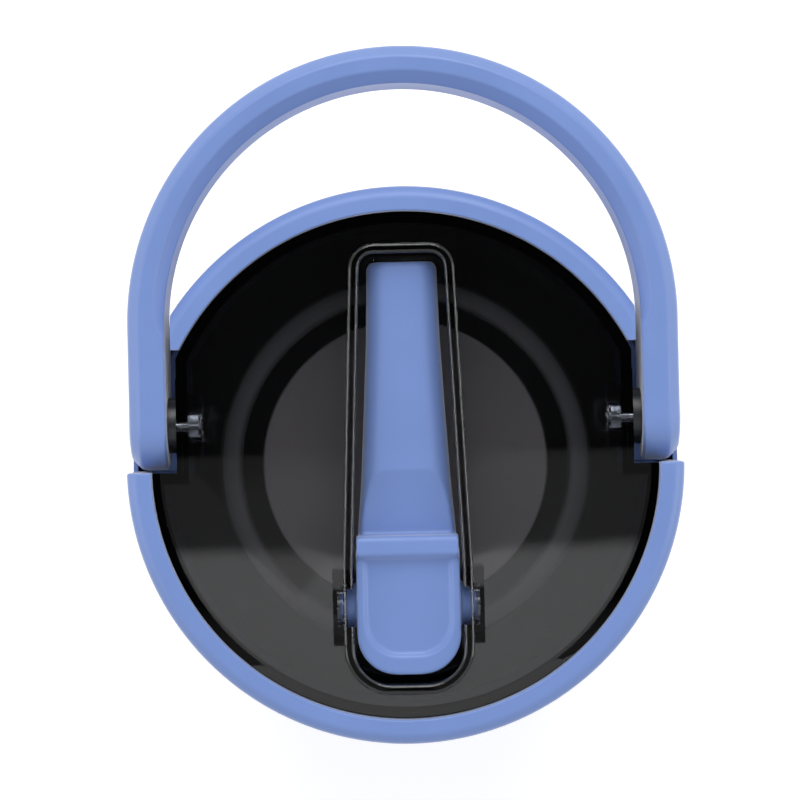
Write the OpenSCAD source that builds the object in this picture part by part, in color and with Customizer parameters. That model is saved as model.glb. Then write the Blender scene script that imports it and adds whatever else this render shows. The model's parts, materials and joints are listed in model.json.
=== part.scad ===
// Large insulated water jug: a double-walled steel body, a screw-on lid with a
// flip-up spout in a channel, and a bail handle that folds back behind the lid.
// Origin: centre of the underside of the foot pad. +Z up, +Y towards the folded handle.

/* [Steel body] */
// Outer diameter of the steel body
body_d = 117; // [98:1:140]
// Height of the body from the table to the lip of its neck
body_h = 233; // [195:1:280]
// Wall of the outer shell
steel_t = 0.8; // [0.5:0.1:1.2]
// Wall of the inner liner
liner_t = 0.7; // [0.5:0.1:1.2]
// Gap of the vacuum between shell and liner
vacuum_gap = 2.8; // [1.5:0.1:4]
// Outer diameter of the neck
neck_d = 62; // [52:1:74]
// Straight height of the neck above the shoulder
neck_h = 6; // [4:0.5:10]
// Radius of the shoulder's outer corner
shoulder_r = 8; // [6:0.5:12]
// Rise of the shoulder, in degrees
shoulder_slope = 10; // [5:1:18]
// Radius of the foot's outer corner
foot_r = 4; // [2:0.5:6]
// Diameter of the non-slip pad under the foot
pad_d = 99; // [80:1:110]
// Thickness of the pad
pad_t = 2.4; // [1.8:0.1:4]

/* [Lid] */
// How far the collar stands out past the steel body
collar_over = 1.5; // [0.5:0.1:4]
// Height of the lid above the lip of the neck
lid_h = 31; // [31:0.5:38]
// Wall of the collar
collar_t = 3.2; // [2:0.1:5]
// Width of the flat ring that the collar shows on top
land_w = 5.4; // [4:0.1:8]
// Depth of that ring's thick edge
land_h = 6; // [4:0.5:9]
// Gap between the collar and the steel shoulder
collar_gap = 1.2; // [0.6:0.1:2.5]
// Wall of the clear shell
shell_t = 2.4; // [1.6:0.1:3]
// Top plate of the clear shell
top_t = 2.6; // [1.8:0.1:3.4]
// Fall of the shell's front half, in degrees
front_fall = 2.5; // [0:0.5:4]
// Where the shell's front half starts to fall
crease_y = 3.3; // [0:0.1:6]
// Thickness of the lid's inner plate
plate_t = 2.4; // [1.8:0.1:3]
// Thickness of the gasket on the neck
gasket_t = 1.2; // [0.8:0.1:2]
// Depth of the threaded plug in the neck
plug_h = 11.5; // [8:0.5:14]
// Spacing of the thread's turns
thread_pitch = 3.6; // [2.5:0.1:4]
// Height of the thread's ridges
thread_h = 0.65; // [0.4:0.05:0.9]
// Gap between the ridges of plug and neck, on the radius
thread_gap = 0.4; // [0.3:0.05:0.6]

/* [Spout] */
// Width of the mouthpiece at its tip
tip_w = 15.2; // [12:0.1:17]
// Width of the finger pad over the pivot
pad_w = 22.3; // [20:0.1:26]
// Height of the spout's body
spout_h = 12; // [10.5:0.1:13]
// Diameter of the drinking bore
bore_d = 5.2; // [4.4:0.1:5.6]
// Length of the finger pad in front of the pivot
pad_reach = 14.7; // [12:0.1:15]
// Thickness of the finger pad
pad_plate_t = 2.2; // [1.8:0.1:2.6]
// Diameter of the spout's trunnions
trunnion_d = 9.2; // [6:0.1:10]
// Gap between the spout and the walls of its channel
spout_gap = 0.65; // [0.4:0.05:1.5]
// Wall of the spout's channel
channel_t = 2.2; // [1.6:0.1:3]
// Floor of the spout's channel
floor_t = 1.8; // [1.4:0.1:2.2]
// Height of the lip around the channel
lip_h = 0.8; // [0.4:0.1:1.5]

/* [Handle] */
// Thickness of the handle strap
strap_t = 8.1; // [6:0.1:9]
// Width of the handle strap
strap_w = 19; // [15:0.5:22]
// Gap between the raised handle's arch and the spout that passes under it
spout_pass = 3.3; // [2:0.1:8]
// Outer chamfer of the strap
strap_chamfer = 2.4; // [1:0.1:3]
// Inner chamfer of the arch
grip_chamfer = 2.6; // [0:0.1:3]
// Gap between the strap and the notch it turns in
notch_gap = 0.5; // [0.35:0.05:1.5]
// Space between the strap and the flat wall beside it
strap_space = 2.2; // [1:0.1:4]

/* [Pivots] */
// Diameter of the pivot screw's shoulder
shoulder_d = 5; // [4:0.1:6]
// Diameter of the pivot screw's thread
screw_d = 3.4; // [2.5:0.1:4]
// Outer diameter of the pivot bush
bush_d = 7.6; // [6.5:0.1:9]
// Diameter of the steel cap over the screw
cap_d = 10.6; // [9:0.1:13]
// Running clearance of the hinges, on the radius
running = 0.05; // [0.01:0.01:0.1]

/* [Straw] */
// Outer diameter of the straw
straw_d = 8; // [7:0.1:10]
// Wall of the straw
straw_t = 1; // [0.8:0.1:1.4]
// Gap between the straw and the bottom of the liner
straw_gap = 5; // [3:0.5:10]
// Gap between the flange over the straw and the wall of the plug
straw_wall = 1.7; // [0.5:0.1:4]
// Wall of the tube that joins the straw to the spout
port_t = 1.5; // [1:0.1:1.6]

/* [Hidden] */
$fn = 96;
eps = 0.01;
far = 200;
fit = 0.1;

// Steel body, from the table up
body_r = body_d / 2;
neck_r = neck_d / 2;
foot_z = pad_t - steel_t;
flange_r = pad_d / 2 + 0.5;
lip_t = steel_t;
neck_top = body_h - lip_t;
neck_fillet = 4;
liner_r = body_r - steel_t - vacuum_gap;
liner_z = foot_z + 2 * steel_t + 4.1;
liner_foot_r = 12;
neck_wall = 2.7;
liner_neck_r = neck_r - neck_wall;
bore_r = liner_neck_r - liner_t;
shoulder_z = body_h - neck_h - neck_rise();
// Weld seams: the necks are pressings welded to straight tubes, and so is the liner's bottom
neck_seam = shoulder_z - shoulder_r;
foot_seam = liner_z + liner_foot_r + 1;

// Lid, from the lip up
collar_r = body_r + collar_over;
lid_top = body_h + lid_h;
collar_z = shoulder_z - shoulder_r + sqrt(pow(shoulder_r, 2) - pow(shoulder_r - 2.5, 2)) + collar_gap;
land_r = collar_r - land_w;
shell_r = land_r - fit;
plate_z = body_h + gasket_t;
shell_z = plate_z + plate_t;
plug_r = bore_r - 2 * thread_h - thread_gap;
plug_t = 2.2;
step_in = 31.5;
step_out = 36.5;
rim_drop = 2;
rim_w = 1.8;

// Handle and its notch
pivot_y = strap_w / 2;
pivot_z = lid_top - strap_w / 2 - 0.1;
strap_out = collar_r - 0.7;
strap_in = strap_out - strap_t;
notch_x = strap_in - strap_space;
notch_y = -notch_gap;
notch_z = pivot_z - strap_w / 2 - notch_gap;
blister_w = 13.3;
blister_t = 2.7;
bush_flange_d = 12;
bush_flange_gap = 0.35;
cap_seat = 2.9;
head_d = 9.2;
head_t = 1.2;
nut_t = 2;

// Tube and seal under the spout
port_bore = straw_d / 2 - straw_t - 0.8;
port_r = port_bore + port_t;
seal_r = port_r + 0.9;
seal_h = 1.8;
seal_gap = 0.3;
flange_over = 1.3;
straw_y = plug_r - plug_t - port_r - flange_over - straw_wall;

// Spout and its channel
channel_half = pad_w / 2 + spout_gap;
channel_front = -(collar_r - 13);
spout_y = channel_front + pad_reach + 2;
pad_base = 5.2;
spout_z = lid_top - 8.7;
barrel_r = 5.6;
channel_rear = shell_r - 9;
rear_half = tip_w / 2 + spout_gap + 0.75;
tip_y = channel_rear - 1.7;
// The arch stands off the pivot so that the spout's tip passes under it
arch_rise = sqrt(pow(tip_y - spout_y, 2) - pow(pivot_y - spout_y, 2))
    + spout_z + spout_h / 2 - pivot_z - strap_in + spout_pass;
arch_y = pivot_y + arch_rise;
ledge_y = spout_y + 13;
deep_rear = spout_y + seal_r + 0.6;
deep_z = spout_z - pad_reach - 1.7;
floor_z = spout_z - spout_h / 2 - 0.7;
trunnion_r = trunnion_d / 2;
trunnion_end = channel_half + channel_t + 1;
hinge_pad_out = trunnion_end + 1.3;
hinge_pad_w = 16.5;
// Sections of the spout from its tip to its barrel: y, width and height
spout_sections = [
    [tip_y, tip_w - 1.8, spout_h - 2.2],
    [tip_y - 1.4, tip_w, spout_h - 0.8],
    [along_spout(0.72), tip_w + 0.8, spout_h],
    [along_spout(0.45), tip_w + 2.5, spout_h],
    [along_spout(0.2), pad_w - 2.9, spout_h],
    [ledge_y + 2, pad_w - 0.9, spout_h],
    [spout_y + barrel_r - 0.6, pad_w, spout_h - 0.6]
];

// Water path
port_top = spout_z - barrel_r - seal_gap - seal_h;
port_z = floor_z - floor_t - port_r - 0.2;
straw_top = body_h - 5;
straw_bottom = liner_z + liner_t + straw_gap;
nipple_l = 12;
vent_y = 14;

blue = "#7d97d3";
navy_smoke = [0.12, 0.13, 0.16, 0.75];

// ---------------------------------------------------------------- helpers

function arc(centre, r, from, to, steps = 8) =
    [for (i = [0:steps]) let (a = from + (to - from) * i / steps)
        [centre[0] + r * cos(a), centre[1] + r * sin(a)]];

function reversed(points) = [for (i = [len(points) - 1:-1:0]) points[i]];

// Height from a shoulder's top corner to the middle of the fillet under its neck.
function fillet_rise(r, corner_r, neck) =
    let (x = r - corner_r + corner_r * sin(shoulder_slope))
    corner_r * (cos(shoulder_slope) - 1)
    + (neck_fillet + (x - neck - neck_fillet) * sin(shoulder_slope)) / cos(shoulder_slope);

function neck_rise() = fillet_rise(body_r, shoulder_r, neck_r);

// One side of a can's wall: foot corner, side, shoulder corner, slope, fillet and neck.
function can_side(r, z, foot, top, corner_r, neck, neck_z, inset, start) = concat(
    [[start, z + inset]],
    arc([r - foot, z + foot], foot - inset, -90, 0),
    arc([r - corner_r, top - corner_r], corner_r - inset, 0, 90 - shoulder_slope),
    arc([neck + neck_fillet, top + fillet_rise(r, corner_r, neck)], neck_fillet + inset, 270 - shoulder_slope, 180),
    [[neck - inset, neck_z]]);

// A place between the ledge (0) and the tip (1).
function along_spout(share) = ledge_y + 2 + (tip_y - ledge_y - 2) * share;

// Outline of the spout's channel, grown by a wall.
function channel_outline(grow) = concat(
    arc([rear_half - 3, channel_rear - 3], 3 + grow, 0, 90, 6),
    arc([-rear_half + 3, channel_rear - 3], 3 + grow, 90, 180, 6),
    [[-channel_half - grow, ledge_y - 4]],
    arc([-channel_half + 8, channel_front + 8], 8 + grow, 180, 270, 8),
    arc([channel_half - 8, channel_front + 8], 8 + grow, 270, 360, 8),
    [[channel_half + grow, ledge_y - 4]]);

// Outline of a finger pad with a square back and rounded front corners.
function pad_outline(half, back, front, r) = concat(
    [[half, back], [-half, back]],
    arc([-half + r, front + r], r, 180, 270, 8),
    arc([half - r, front + r], r, 270, 360, 8));

module prism(z0, z1) {
    translate([0, 0, z0]) linear_extrude(z1 - z0) children();
}

// A cylinder along X from x0 to x1 on the given side.
module across(side, x0, x1, r, y, z) {
    translate([side * x0, y, z]) rotate([0, side * 90, 0]) cylinder(r = r, h = x1 - x0);
}

module block(x0, x1, y0, y1, z0, z1) {
    translate([min(x0, x1), y0, z0]) cube([abs(x1 - x0), y1 - y0, z1 - z0]);
}

// Plan of the lid: a disc with a notch on each side for the handle.
module lid_plan(inset) {
    difference() {
        circle(r = shell_r - inset);
        for (side = [0, 1]) mirror([side, 0])
            translate([notch_x - inset, notch_y - fit - inset]) square(far);
    }
}

// Everything above the lid's top surface, lowered by a depth.
module above_top(depth) {
    translate([-far / 2, crease_y - eps, lid_top - depth]) cube(far);
    translate([0, crease_y, lid_top - depth]) rotate([front_fall, 0, 0])
        translate([-far / 2, -far, 0]) cube([far, far + eps, far]);
}

module thread_ring(r, z, h) {
    rotate_extrude() polygon([
        [r - sign(h) * 0.3, z - 1.1], [r + h, z - 0.35], [r + h, z + 0.35], [r - sign(h) * 0.3, z + 1.1]]);
}

// A thin rounded slice of the spout, for a hull. section: y, width, height.
module spout_slice(section) {
    r = section[2] * 0.42;
    translate([0, section[0], spout_z]) rotate([90, 0, 0]) linear_extrude(eps)
        for (sx = [-1, 1], sz = [-1, 1])
            translate([sx * (section[1] / 2 - r), sz * (section[2] / 2 - r)]) circle(r = r, $fn = 32);
}

// Section of the handle strap: x runs outwards from the inner face.
module strap_section(inner) {
    half = strap_w / 2;
    polygon([
        [strap_in, half - inner], [strap_in + inner, half],
        [strap_out - strap_chamfer, half], [strap_out, half - strap_chamfer],
        [strap_out, -half + strap_chamfer], [strap_out - strap_chamfer, -half],
        [strap_in + inner, -half], [strap_in, -half + inner]]);
}

// ---------------------------------------------------------------- steel body

// The part of a shape between two heights.
module slab(z0, z1) {
    intersection() {
        children();
        translate([-far, -far, z0]) cube([far * 2, far * 2, z1 - z0]);
    }
}

module steel_shell() {
    side = can_side(body_r, foot_z, foot_r, shoulder_z, shoulder_r, neck_r, neck_top, 0, flange_r);
    inside = can_side(body_r, foot_z, foot_r, shoulder_z, shoulder_r, neck_r, neck_top, steel_t, flange_r);
    rotate_extrude() polygon(concat(side, reversed(inside)));
}

module steel_liner() {
    shift = steel_t + vacuum_gap;
    top = shoulder_z - shift;
    corner = shoulder_r - shift;
    side = can_side(liner_r, liner_z, liner_foot_r, top, corner, liner_neck_r, body_h, 0, 0);
    inside = can_side(liner_r, liner_z, liner_foot_r, top, corner, liner_neck_r, body_h, liner_t, 0);
    rotate_extrude() polygon(concat(side, reversed(inside)));
}

module outer_shell() {
    color(blue) slab(0, neck_seam) steel_shell();
}

module shell_neck() {
    color(blue) slab(neck_seam, far * 2) steel_shell();
}

module inner_liner() {
    color("silver") slab(foot_seam, neck_seam) steel_liner();
}

module liner_bottom() {
    color("silver") slab(0, foot_seam) steel_liner();
}

module liner_neck() {
    color("silver") {
        slab(neck_seam, far * 2) steel_liner();
        rotate_extrude() translate([bore_r, neck_top]) square([neck_r - bore_r, lip_t]);
        for (turn = [0, 1]) thread_ring(bore_r, body_h - 4 - turn * thread_pitch, -thread_h);
    }
}

module base_plate() {
    color("silver") translate([0, 0, foot_z + steel_t])
        cylinder(r = body_r - foot_r - 0.5, h = steel_t);
}

module getter_cup() {
    color("silver") translate([0, 0, foot_z + 2 * steel_t]) difference() {
        cylinder(r = 8, h = 2);
        translate([0, 0, 0.6]) cylinder(r = 7.2, h = 2);
    }
}

module foot_pad() {
    color("#3b4254") rotate_extrude() polygon([
        [0, 0], [pad_d / 2 - 0.8, 0], [pad_d / 2, 0.8], [pad_d / 2, pad_t], [0, pad_t]]);
}

// ---------------------------------------------------------------- lid

module collar_section() {
    inner = collar_r - collar_t;
    ledge = land_r - 3;
    polygon([
        [inner, collar_z], [collar_r - 0.8, collar_z], [collar_r, collar_z + 0.8],
        [collar_r, lid_top - 1.6], [collar_r - 1.9, lid_top], [land_r + 0.5, lid_top], [land_r, lid_top - 0.5],
        [land_r, lid_top - land_h], [inner, lid_top - land_h - 2],
        [inner, plate_z], [ledge, plate_z], [ledge, plate_z - 2.4], [inner, plate_z - 3.4]]);
}

module lid_collar() {
    color(blue) {
        difference() {
            rotate_extrude() collar_section();
            for (side = [0, 1]) mirror([side, 0, 0])
                block(notch_x + 0.9, far, notch_y, far, notch_z, lid_top + 1);
        }
        for (side = [0, 1]) mirror([side, 0, 0]) intersection() {
            prism(notch_z - 2.4, notch_z) circle(r = collar_r - 1);
            block(notch_x + fit, far, notch_y, far, 0, far * 2);
        }
    }
}

module channel_solid() {
    prism(floor_z - floor_t, lid_top + lip_h) polygon(channel_outline(channel_t));
    intersection() {
        prism(deep_z - floor_t, lid_top) polygon(channel_outline(channel_t));
        block(-far, far, -far, deep_rear + floor_t, 0, far * 2);
    }
    for (side = [-1, 1])
        block(side * channel_half, side * hinge_pad_out, spout_y - hinge_pad_w / 2, spout_y + hinge_pad_w / 2,
            spout_z - trunnion_r - 2, lid_top - 1.2);
}

module channel_space() {
    prism(floor_z, far * 2) polygon(channel_outline(0));
    intersection() {
        prism(deep_z, far * 2) polygon(channel_outline(0));
        block(-far, far, -far, deep_rear, 0, far * 2);
    }
    for (side = [-1, 1]) {
        across(side, 0, trunnion_end + 0.4, trunnion_r + running, spout_y, spout_z);
        block(side * (channel_half - 1), side * (channel_half + 1.4), spout_y - trunnion_r + 0.5,
            spout_y + trunnion_r - 0.5, spout_z, lid_top + 5);
    }
}

// The boss behind the notch wall that holds a pivot nut.
module nut_boss() {
    inner_face = notch_x - shell_t;
    block(inner_face - blister_t, inner_face + eps, pivot_y - blister_w / 2, pivot_y + blister_w / 2,
        pivot_z - blister_w / 2, pivot_z + blister_w / 2);
}

module lid_shell() {
    inner_face = notch_x - shell_t;
    color(navy_smoke) difference() {
        union() {
            difference() {
                prism(shell_z, lid_top) lid_plan(0);
                difference() {
                    prism(shell_z - 1, lid_top) lid_plan(shell_t);
                    above_top(top_t);
                }
                above_top(0);
                rotate_extrude() translate([shell_r - rim_w, lid_top - rim_drop]) square(rim_w + 1);
            }
            channel_solid();
            for (side = [0, 1]) mirror([side, 0, 0]) nut_boss();
        }
        channel_space();
        translate([0, spout_y, port_z]) rotate([-90, 0, 0])
            cylinder(r = port_r + fit, h = deep_rear - spout_y + floor_t + 1);
        for (side = [-1, 1]) {
            across(side, inner_face - blister_t - 1, notch_x + 1, screw_d / 2 + running, pivot_y, pivot_z);
            across(side, inner_face - blister_t - 1, inner_face, 3.6, pivot_y, pivot_z);
        }
    }
}

module lid_core() {
    color("#24262b") difference() {
        union() {
            prism(plate_z, shell_z) lid_plan(0);
            rotate_extrude() translate([plug_r - plug_t, body_h - plug_h]) square([plug_t, plug_h + gasket_t + eps]);
            for (turn = [0, 1]) thread_ring(plug_r, body_h - 5.8 - turn * thread_pitch, thread_h);
        }
        rotate_extrude() translate([step_in, shell_z - 0.9]) square([step_out - step_in, 2]);
        translate([0, -straw_y, 0]) cylinder(r = port_r + fit, h = far * 2);
        translate([0, vent_y, 0]) cylinder(r = 1.6, h = far * 2);
    }
}

module lid_gasket() {
    color("#5a6070") rotate_extrude() translate([bore_r - 0.6, body_h]) square([neck_r - bore_r + 1.2, gasket_t]);
}

module vent_valve() {
    color("#8f95a5") translate([0, vent_y, 0]) {
        translate([0, 0, plate_z - 0.8]) cylinder(r = 4, h = 0.8);
        translate([0, 0, plate_z - eps]) cylinder(r = 1.5, h = plate_t + 0.5);
        translate([0, 0, shell_z]) cylinder(r1 = 2.4, r2 = 1.4, h = 1.8);
    }
}

// ---------------------------------------------------------------- water path

// The elbow from the straw to the spout: down, back and down again.
module port_route(r, top, bottom) {
    translate([0, spout_y, port_z]) cylinder(r = r, h = top - port_z);
    translate([0, spout_y, port_z]) sphere(r = r);
    translate([0, spout_y, port_z]) rotate([-90, 0, 0]) cylinder(r = r, h = -straw_y - spout_y);
    translate([0, -straw_y, port_z]) sphere(r = r);
    translate([0, -straw_y, bottom]) cylinder(r = r, h = port_z - bottom);
}

module straw_port() {
    nipple_r = straw_d / 2 - straw_t;
    color("#9fb3df") difference() {
        union() {
            port_route(port_r, port_top, straw_top);
            translate([0, -straw_y, straw_top]) cylinder(r = port_r + flange_over, h = 1.5);
            translate([0, -straw_y, straw_top - nipple_l]) cylinder(r = nipple_r - 0.02, h = nipple_l + eps);
        }
        port_route(port_bore, port_top + 1, straw_top - nipple_l - 1);
    }
}

module port_seal() {
    color("#5a6070") translate([0, spout_y, port_top]) difference() {
        cylinder(r = seal_r, h = seal_h);
        translate([0, 0, -1]) cylinder(r = port_bore, h = seal_h + 2);
    }
}

module straw() {
    color("#e4e9f2") difference() {
        translate([0, -straw_y, straw_bottom]) cylinder(r = straw_d / 2, h = straw_top - straw_bottom);
        translate([0, -straw_y, straw_bottom - 1]) cylinder(r = straw_d / 2 - straw_t, h = far * 2);
        translate([-far / 2, -straw_y, straw_bottom]) rotate([30, 0, 0])
            translate([0, 0, -far]) cube([far, far, far]);
    }
}

// ---------------------------------------------------------------- spout

module spout_body() {
    for (i = [1:len(spout_sections) - 1]) hull() {
        spout_slice(spout_sections[i - 1]);
        spout_slice(spout_sections[i]);
    }
}

// The thumb ledge, drawn from the side.
module spout_ledge() {
    low = spout_h / 2 - 3;
    high = spout_h / 2 + 3;
    translate([-pad_w / 2 + 0.2, 0, 0]) rotate([90, 0, 90]) linear_extrude(pad_w - 0.4)
        translate([ledge_y, spout_z]) polygon([
            [2.2, low], [2.2, high - 0.8], [1.4, high], [-1.8, high], [-2.4, high - 0.6], [-4, low + 2], [-4, low]]);
}

module spout() {
    color(blue) difference() {
        union() {
            spout_body();
            spout_ledge();
            prism(spout_z + pad_base, spout_z + pad_base + pad_plate_t)
                polygon(pad_outline(pad_w / 2, ledge_y - 1, spout_y - pad_reach, 8.5));
            translate([-pad_w / 2, spout_y, spout_z]) rotate([0, 90, 0]) cylinder(r = barrel_r, h = pad_w);
            for (side = [-1, 1]) across(side, pad_w / 2 - 1, trunnion_end, trunnion_r, spout_y, spout_z);
        }
        prism(spout_z + pad_base + pad_plate_t - 0.9, far * 2)
            polygon(pad_outline(pad_w / 2 - 1.8, ledge_y - 4.2, spout_y - pad_reach + 4, 7.4));
        translate([0, tip_y + 1, spout_z]) rotate([90, 0, 0]) cylinder(d = bore_d, h = tip_y - spout_y + barrel_r + 2);
        translate([-far / 2, ledge_y + 8.6, spout_z + spout_h / 2 + 9.2]) rotate([0, 90, 0])
            cylinder(r = 11.2, h = far);
    }
}

// ---------------------------------------------------------------- handle

// The round end of a leg, half a disc about the pivot, chamfered like the strap.
module strap_foot() {
    translate([0, pivot_y, pivot_z]) rotate([0, 90, 0]) rotate([0, 0, 180]) rotate_extrude(angle = 180) polygon([
        [0, strap_in], [strap_w / 2, strap_in], [strap_w / 2, strap_out - strap_chamfer],
        [strap_w / 2 - strap_chamfer, strap_out], [0, strap_out]]);
}

module handle() {
    color(blue) difference() {
        union() {
            translate([0, arch_y, pivot_z]) rotate_extrude(angle = 180) strap_section(grip_chamfer);
            for (side = [0, 1]) mirror([side, 0, 0]) {
                translate([0, arch_y, pivot_z]) rotate([90, 0, 0])
                    linear_extrude(arch_rise) strap_section(0);
                strap_foot();
            }
        }
        for (side = [-1, 1]) {
            across(side, strap_in - 1, strap_out + 1, bush_d / 2, pivot_y, pivot_z);
            across(side, strap_out - cap_seat, strap_out + 1, cap_d / 2, pivot_y, pivot_z);
        }
    }
}

module pivot_bush(side) {
    flange_x = notch_x + bush_flange_gap;
    color("#26282d") difference() {
        union() {
            across(side, strap_in - eps, strap_out - cap_seat, bush_d / 2, pivot_y, pivot_z);
            across(side, flange_x, strap_in, bush_flange_d / 2, pivot_y, pivot_z);
        }
        across(side, notch_x, strap_out, shoulder_d / 2 + running, pivot_y, pivot_z);
    }
}

// A shallow dome that closes the screw's seat.
module pivot_cap(side) {
    color("silver") translate([side * (strap_out - 1), pivot_y, pivot_z]) rotate([0, side * 90, 0])
        rotate_extrude() polygon(concat(
            [[0, 0], [cap_d / 2, 0]],
            [for (i = [0:6]) [cap_d / 2 * cos(i * 15), 1 + 0.6 * sin(i * 15)]]));
}

module pivot_screw(side) {
    head_x = strap_out - cap_seat + 0.35;
    color("silver") difference() {
        union() {
            across(side, head_x, head_x + head_t, head_d / 2, pivot_y, pivot_z);
            across(side, notch_x, head_x + eps, shoulder_d / 2, pivot_y, pivot_z);
            across(side, notch_x - shell_t - blister_t, notch_x + eps, screw_d / 2, pivot_y, pivot_z);
        }
        translate([side * (head_x + 0.4), pivot_y, pivot_z]) rotate([0, side * 90, 0])
            cylinder(r = 1.8, h = 5, $fn = 6);
    }
}

module pivot_nut(side) {
    color("silver") translate([side * (notch_x - shell_t - nut_t), pivot_y, pivot_z]) rotate([0, side * 90, 0])
        difference() {
            cylinder(r = 3.5, h = nut_t, $fn = 6);
            translate([0, 0, -1]) cylinder(r = screw_d / 2 + 0.02, h = nut_t + 2);
        }
}

outer_shell();
shell_neck();
inner_liner();
liner_bottom();
liner_neck();
base_plate();
getter_cup();
foot_pad();
lid_collar();
lid_shell();
lid_core();
lid_gasket();
vent_valve();
straw_port();
port_seal();
straw();
spout();
handle();
pivot_bush(-1);  // pivot_bush_left
pivot_bush(1);  // pivot_bush_right
pivot_cap(-1);  // pivot_cap_left
pivot_cap(1);  // pivot_cap_right
pivot_screw(-1);  // pivot_screw_left
pivot_screw(1);  // pivot_screw_right
pivot_nut(-1);  // pivot_nut_left
pivot_nut(1);  // pivot_nut_right
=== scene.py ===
# %% [markdown]
# # A large insulated water jug, seen from above
# The jug is a double-walled steel can with a screw-on lid. The lid carries a flip-up spout
# that lies in a clear channel, and a bail handle that folds back behind it. The packed
# model gives every piece its true place and size. This lesson turns those plain solids
# into the real thing: rounded edges, moulded and metal finishes, a screw thread that
# winds, and the clear smoke-coloured cover that makes this lid what it is.

# %% Load the frame
import json
import math

import bmesh
import bpy
from mathutils import Matrix, Vector


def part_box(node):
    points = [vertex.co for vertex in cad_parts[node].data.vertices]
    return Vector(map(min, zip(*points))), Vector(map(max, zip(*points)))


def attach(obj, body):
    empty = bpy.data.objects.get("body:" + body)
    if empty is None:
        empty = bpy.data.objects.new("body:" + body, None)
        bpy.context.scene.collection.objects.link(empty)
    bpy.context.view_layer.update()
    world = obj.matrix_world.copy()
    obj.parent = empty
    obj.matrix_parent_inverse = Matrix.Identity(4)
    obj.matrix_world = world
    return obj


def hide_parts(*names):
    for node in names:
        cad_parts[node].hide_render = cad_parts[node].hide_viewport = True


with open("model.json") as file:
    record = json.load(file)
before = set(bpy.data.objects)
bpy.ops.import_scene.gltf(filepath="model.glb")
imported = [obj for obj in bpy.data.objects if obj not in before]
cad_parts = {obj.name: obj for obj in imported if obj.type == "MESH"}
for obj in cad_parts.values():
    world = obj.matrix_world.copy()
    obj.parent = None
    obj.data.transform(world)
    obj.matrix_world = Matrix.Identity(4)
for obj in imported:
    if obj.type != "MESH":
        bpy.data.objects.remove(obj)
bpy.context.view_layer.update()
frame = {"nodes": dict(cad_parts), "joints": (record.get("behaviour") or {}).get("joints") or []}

# %% [markdown]
# Lengths are easier to think about in millimetres, so each mesh is worked in millimetres
# and made smaller once, when it is finished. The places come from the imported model: the
# corners of its nodes and the places of its joints.

# %% Sizes read from the model, in millimetres
MM = 0.001


def corners(node):
    low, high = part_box(node)
    return low / MM, high / MM


joint_at = {}
for joint in frame["joints"]:
    if "pos_m" in joint:
        joint_at[joint["name"]] = Vector(joint["pos_m"]) / MM
handle_pivot = joint_at["handle_swing"]
spout_pivot = joint_at["spout_flip"]

collar_low, collar_high = corners("lid_collar")
shell_low, shell_high = corners("lid_shell")
core_low, core_high = corners("lid_core")
strap_low, strap_high = corners("handle")
spout_low, spout_high = corners("spout")
body_low, body_high = corners("outer_shell")
liner_low, liner_high = corners("inner_liner")
pad_low, pad_high = corners("foot_pad")
lid_top = collar_high.z
collar_r = collar_high.x
body_r = body_high.x
print("collar radius", round(collar_r, 2), "lid top", round(lid_top, 2))

# %% [markdown]
# A photographer would hang the camera over the lid and look straight down. The lens is
# long, so the deep parts shrink only a little towards the middle of the picture. The
# jug was not put down quite square, so the camera is rolled by about one degree.

# %% Camera
picture_across = 171.4
camera_height = 650
camera_data = bpy.data.cameras.new("camera")
camera_data.sensor_width = 36
camera_data.lens = 36 * camera_height / picture_across
camera_data.clip_start = 0.01
camera_data.clip_end = 20
camera = bpy.data.objects.new("camera", camera_data)
camera_spot = Vector((-0.9, 14.0, lid_top + camera_height))
camera.location = camera_spot * MM
camera.rotation_euler = (0, 0, math.radians(-1.28))
bpy.context.scene.collection.objects.link(camera)
bpy.context.scene.camera = camera
print("lens", round(camera_data.lens, 1))

# %% [markdown]
# ## Finishes
# Every finish starts from what the real material is. Colours are written as the sRGB hex
# value that a picker would show, and one function turns them into the linear numbers that
# the renderer works in. Patterns use the piece's own coordinates, so they stay put when
# the piece moves, and their scale comes from a real size in millimetres.

# %% Colour and node helpers


def srgb(code):
    values = []
    for start in (1, 3, 5):
        value = int(code[start:start + 2], 16) / 255
        linear = value / 12.92 if value <= 0.04045 else ((value + 0.055) / 1.055) ** 2.4
        values.append(linear)
    return (*values, 1.0)


def add_node(tree, kind, settings=None, **inputs):
    """Adds a node, sets its settings, and sets or links its inputs."""
    node = tree.nodes.new(kind)
    for key, value in (settings or {}).items():
        setattr(node, key, value)
    for key, value in inputs.items():
        socket = node.inputs[int(key[1:])] if key[1:].isdigit() else node.inputs[key.replace("_", " ")]
        if isinstance(value, bpy.types.NodeSocket):
            tree.links.new(value, socket)
        else:
            socket.default_value = value
    return node


def new_finish(name):
    finish = bpy.data.materials.new(name)
    finish.use_nodes = True
    shader = finish.node_tree.nodes["Principled BSDF"]
    return finish, finish.node_tree, shader


def per_mm(size):
    """The scale of a pattern whose grain is so many millimetres."""
    return 1 / (size * MM)


print("helpers ready; 1 mm grain is scale", per_mm(1))

# %% [markdown]
# ### Moulded polypropylene
# The collar, handle and spout are injection-moulded polypropylene, coloured all through.
# The mould was spark-eroded to a fine matt, so highlights are wide and soft and never
# mirror-like. The grain is about a quarter of a millimetre. Handling polishes it a
# little in patches, which is a slow change in roughness over some centimetres.

# %% Polypropylene


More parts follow.
